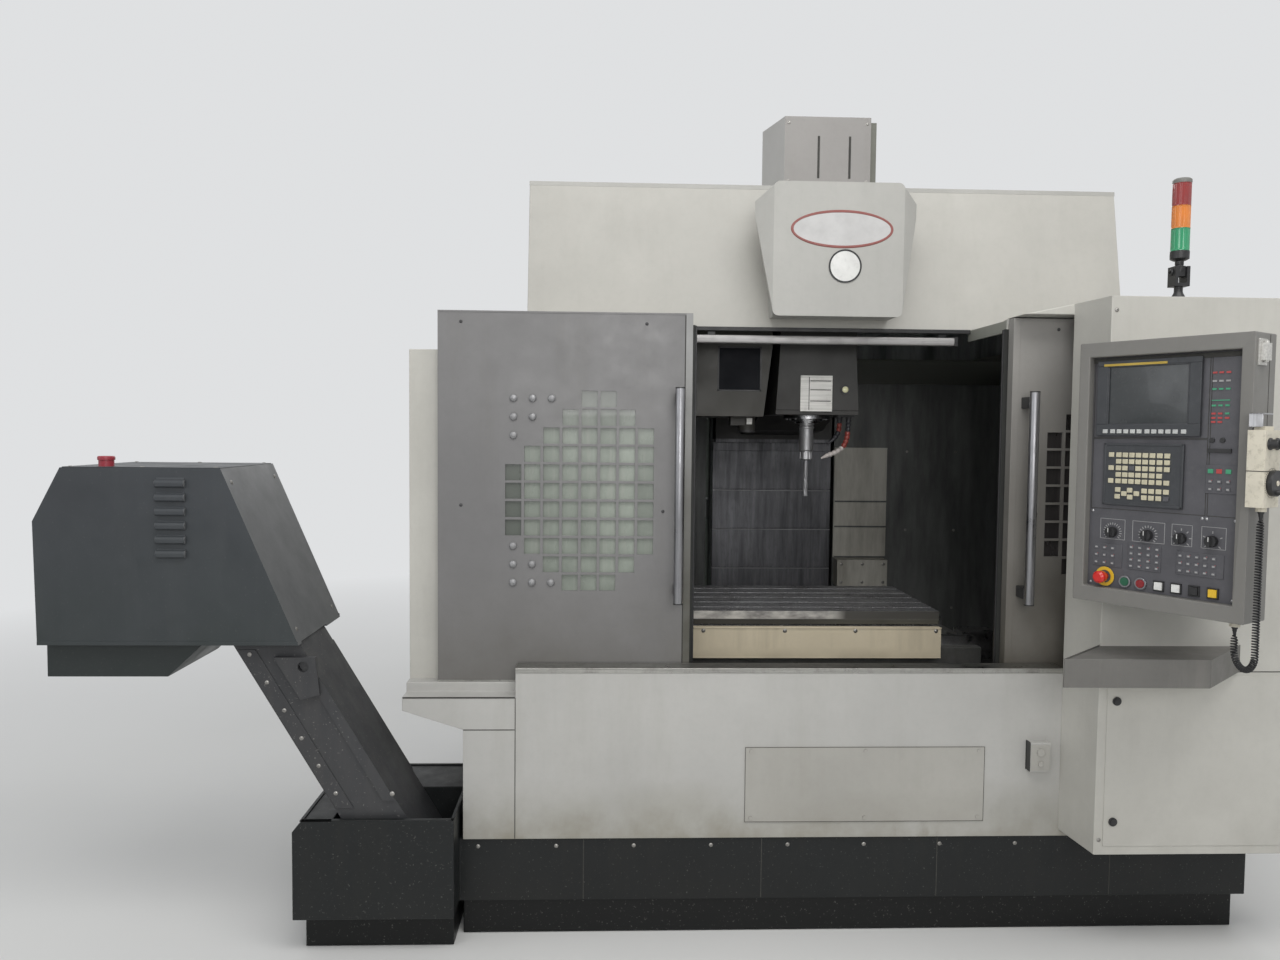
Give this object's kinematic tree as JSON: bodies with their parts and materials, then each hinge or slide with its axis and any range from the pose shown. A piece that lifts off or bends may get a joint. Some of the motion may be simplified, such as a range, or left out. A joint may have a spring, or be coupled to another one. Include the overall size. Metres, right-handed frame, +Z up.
{
  "type": "cnc machining center",
  "caption": "Vertical machining centre with sliding pierced doors, moving table, spindle head, angled operator console, signal tower and inclined chip conveyor.",
  "frame": {"origin": "on the floor, below the spindle axis in X and in the plane of the door faces in Y", "axes": "+Z up, +X to the operator's right, +Y to the rear; the doors and console face -Y"},
  "size_m": [4.106, 3.0539, 2.905],
  "materials": {
    "base_casting": null,
    "levelling_feet": null,
    "column": null,
    "y_drive": null,
    "z_drive": null,
    "saddle": null,
    "x_drive": null,
    "table": null,
    "table_apron": null,
    "way_covers": null,
    "spindle_head": null,
    "spindle_motor": null,
    "spindle": null,
    "tool_holder": null,
    "coolant_nozzle": null,
    "magazine_cover": null,
    "tool_carousel": null,
    "enclosure_shell": null,
    "top_cover": null,
    "front_box": null,
    "motor_cover": null,
    "front_skirt": null,
    "access_panel": null,
    "sill_rail": null,
    "lamp_tube": null,
    "left_door": null,
    "left_window": null,
    "left_handle": null,
    "right_door": null,
    "right_window": null,
    "right_handle": null,
    "coolant_tank": null,
    "conveyor_leg": null,
    "conveyor_hood": null,
    "conveyor_motor": null,
    "conveyor_drum": null,
    "operator_cabinet": null,
    "console_box": null,
    "console_panel": null,
    "display_unit": null,
    "key_unit": null,
    "knob_1": null,
    "knob_2": null,
    "knob_3": null,
    "knob_4": null,
    "emergency_stop": null,
    "green_button": null,
    "red_button": null,
    "square_button_1": null,
    "square_button_2": null,
    "square_button_3": null,
    "square_button_4": null,
    "pendant": null,
    "pendant_dial": null,
    "pendant_cord": null,
    "tower_elbow": null,
    "signal_tower": null,
    "electrical_cabinet": null,
    "electrical_door": null,
    "main_switch": null
  },
  "bodies": {
    "frame": {"base_casting": "base_casting", "levelling_feet": "levelling_feet", "column": "column", "y_drive": "y_drive", "z_drive": "z_drive", "way_covers": "way_covers", "magazine_cover": "magazine_cover", "enclosure_shell": "enclosure_shell", "top_cover": "top_cover", "front_box": "front_box", "motor_cover": "motor_cover", "front_skirt": "front_skirt", "access_panel": "access_panel", "sill_rail": "sill_rail", "lamp_tube": "lamp_tube", "coolant_tank": "coolant_tank", "conveyor_leg": "conveyor_leg", "conveyor_hood": "conveyor_hood", "conveyor_motor": "conveyor_motor", "operator_cabinet": "operator_cabinet", "console_box": "console_box", "console_panel": "console_panel", "display_unit": "display_unit", "key_unit": "key_unit", "pendant": "pendant", "pendant_cord": "pendant_cord", "tower_elbow": "tower_elbow", "electrical_cabinet": "electrical_cabinet"},
    "left_door": {"left_door": "left_door", "left_window": "left_window", "left_handle": "left_handle"},
    "right_door": {"right_door": "right_door", "right_window": "right_window", "right_handle": "right_handle"},
    "saddle": {"saddle": "saddle", "x_drive": "x_drive"},
    "table": {"table": "table", "table_apron": "table_apron"},
    "head": {"spindle_head": "spindle_head", "spindle_motor": "spindle_motor", "coolant_nozzle": "coolant_nozzle"},
    "spindle": {"spindle": "spindle", "tool_holder": "tool_holder"},
    "carousel": {"tool_carousel": "tool_carousel"},
    "conveyor_drum": {"conveyor_drum": "conveyor_drum"},
    "knob_1": {"knob_1": "knob_1"},
    "knob_2": {"knob_2": "knob_2"},
    "knob_3": {"knob_3": "knob_3"},
    "knob_4": {"knob_4": "knob_4"},
    "emergency_stop": {"emergency_stop": "emergency_stop"},
    "green_button": {"green_button": "green_button"},
    "red_button": {"red_button": "red_button"},
    "square_button_1": {"square_button_1": "square_button_1"},
    "square_button_2": {"square_button_2": "square_button_2"},
    "square_button_3": {"square_button_3": "square_button_3"},
    "square_button_4": {"square_button_4": "square_button_4"},
    "pendant_dial": {"pendant_dial": "pendant_dial"},
    "signal_tower": {"signal_tower": "signal_tower"},
    "electrical_door": {"electrical_door": "electrical_door"},
    "main_switch": {"main_switch": "main_switch"}
  },
  "joints": [
    {"name": "left_door_slide", "type": "slide", "parent": "frame", "child": "left_door", "axis": [1, 0, 0], "range_m": [0, 0.5445]},
    {"name": "right_door_slide", "type": "slide", "parent": "frame", "child": "right_door", "axis": [-1, 0, 0], "range_m": [0, 0.5445]},
    {"name": "y_axis", "type": "slide", "parent": "frame", "child": "saddle", "axis": [0, 1, 0], "range_m": [-0.24, 0.36]},
    {"name": "x_axis", "type": "slide", "parent": "saddle", "child": "table", "axis": [1, 0, 0], "range_m": [-0.4, 0.7]},
    {"name": "z_axis", "type": "slide", "parent": "frame", "child": "head", "axis": [0, 0, 1], "range_m": [-0.388, 0.212]},
    {"name": "spindle_turn", "type": "hinge", "parent": "head", "child": "spindle", "pos_m": [0, 0.74, 1.6], "axis": [0, 0, 1], "continuous": true},
    {"name": "carousel_turn", "type": "hinge", "parent": "frame", "child": "carousel", "pos_m": [-0.55, 0.78, 2.025], "axis": [1, 0, 0], "continuous": true},
    {"name": "conveyor_shaft_turn", "type": "hinge", "parent": "frame", "child": "conveyor_drum", "pos_m": [-2.27, 0.035, 1.35], "axis": [0, 1, 0], "continuous": true},
    {"name": "knob_1_turn", "type": "hinge", "parent": "frame", "child": "knob_1", "pos_m": [0.68724, -0.40878, 1.402], "axis": [0.849, 0.5284, 0], "range_deg": [-135, 135]},
    {"name": "knob_2_turn", "type": "hinge", "parent": "frame", "child": "knob_2", "pos_m": [0.74325, -0.49877, 1.402], "axis": [0.849, 0.5284, 0], "range_deg": [-135, 135]},
    {"name": "knob_3_turn", "type": "hinge", "parent": "frame", "child": "knob_3", "pos_m": [0.79293, -0.57857, 1.402], "axis": [0.849, 0.5284, 0], "range_deg": [-135, 135]},
    {"name": "knob_4_turn", "type": "hinge", "parent": "frame", "child": "knob_4", "pos_m": [0.83732, -0.64989, 1.402], "axis": [0.849, 0.5284, 0], "range_deg": [-135, 135]},
    {"name": "emergency_stop_press", "type": "slide", "parent": "frame", "child": "emergency_stop", "axis": [0.849, 0.5284, 0], "range_m": [0, 0.006]},
    {"name": "green_button_press", "type": "slide", "parent": "frame", "child": "green_button", "axis": [0.849, 0.5284, 0], "range_m": [0, 0.004], "stiffness_N_per_m": 400},
    {"name": "red_button_press", "type": "slide", "parent": "frame", "child": "red_button", "axis": [0.849, 0.5284, 0], "range_m": [0, 0.004], "stiffness_N_per_m": 400},
    {"name": "square_button_1_press", "type": "slide", "parent": "frame", "child": "square_button_1", "axis": [0.849, 0.5284, 0], "range_m": [0, 0.004], "stiffness_N_per_m": 400},
    {"name": "square_button_2_press", "type": "slide", "parent": "frame", "child": "square_button_2", "axis": [0.849, 0.5284, 0], "range_m": [0, 0.004], "stiffness_N_per_m": 400},
    {"name": "square_button_3_press", "type": "slide", "parent": "frame", "child": "square_button_3", "axis": [0.849, 0.5284, 0], "range_m": [0, 0.004], "stiffness_N_per_m": 400},
    {"name": "square_button_4_press", "type": "slide", "parent": "frame", "child": "square_button_4", "axis": [0.849, 0.5284, 0], "range_m": [0, 0.004], "stiffness_N_per_m": 400},
    {"name": "pendant_dial_turn", "type": "hinge", "parent": "frame", "child": "pendant_dial", "pos_m": [0.90256, -0.79067, 1.57], "axis": [0.5284, -0.849, 0], "continuous": true},
    {"name": "signal_tower_tilt", "type": "hinge", "parent": "frame", "child": "signal_tower", "pos_m": [1.018, -0.15, 2.22], "axis": [1, 0, 0], "range_deg": [-60, 60]},
    {"name": "electrical_door_swing", "type": "hinge", "parent": "frame", "child": "electrical_door", "pos_m": [0.434, 2.19, 1.29], "axis": [0, 0, 1], "range_deg": [0, 95]},
    {"name": "main_switch_turn", "type": "hinge", "parent": "electrical_door", "child": "main_switch", "pos_m": [1.22, 2.2, 1.74], "axis": [0, 1, 0], "range_deg": [0, 90]}
  ]
}
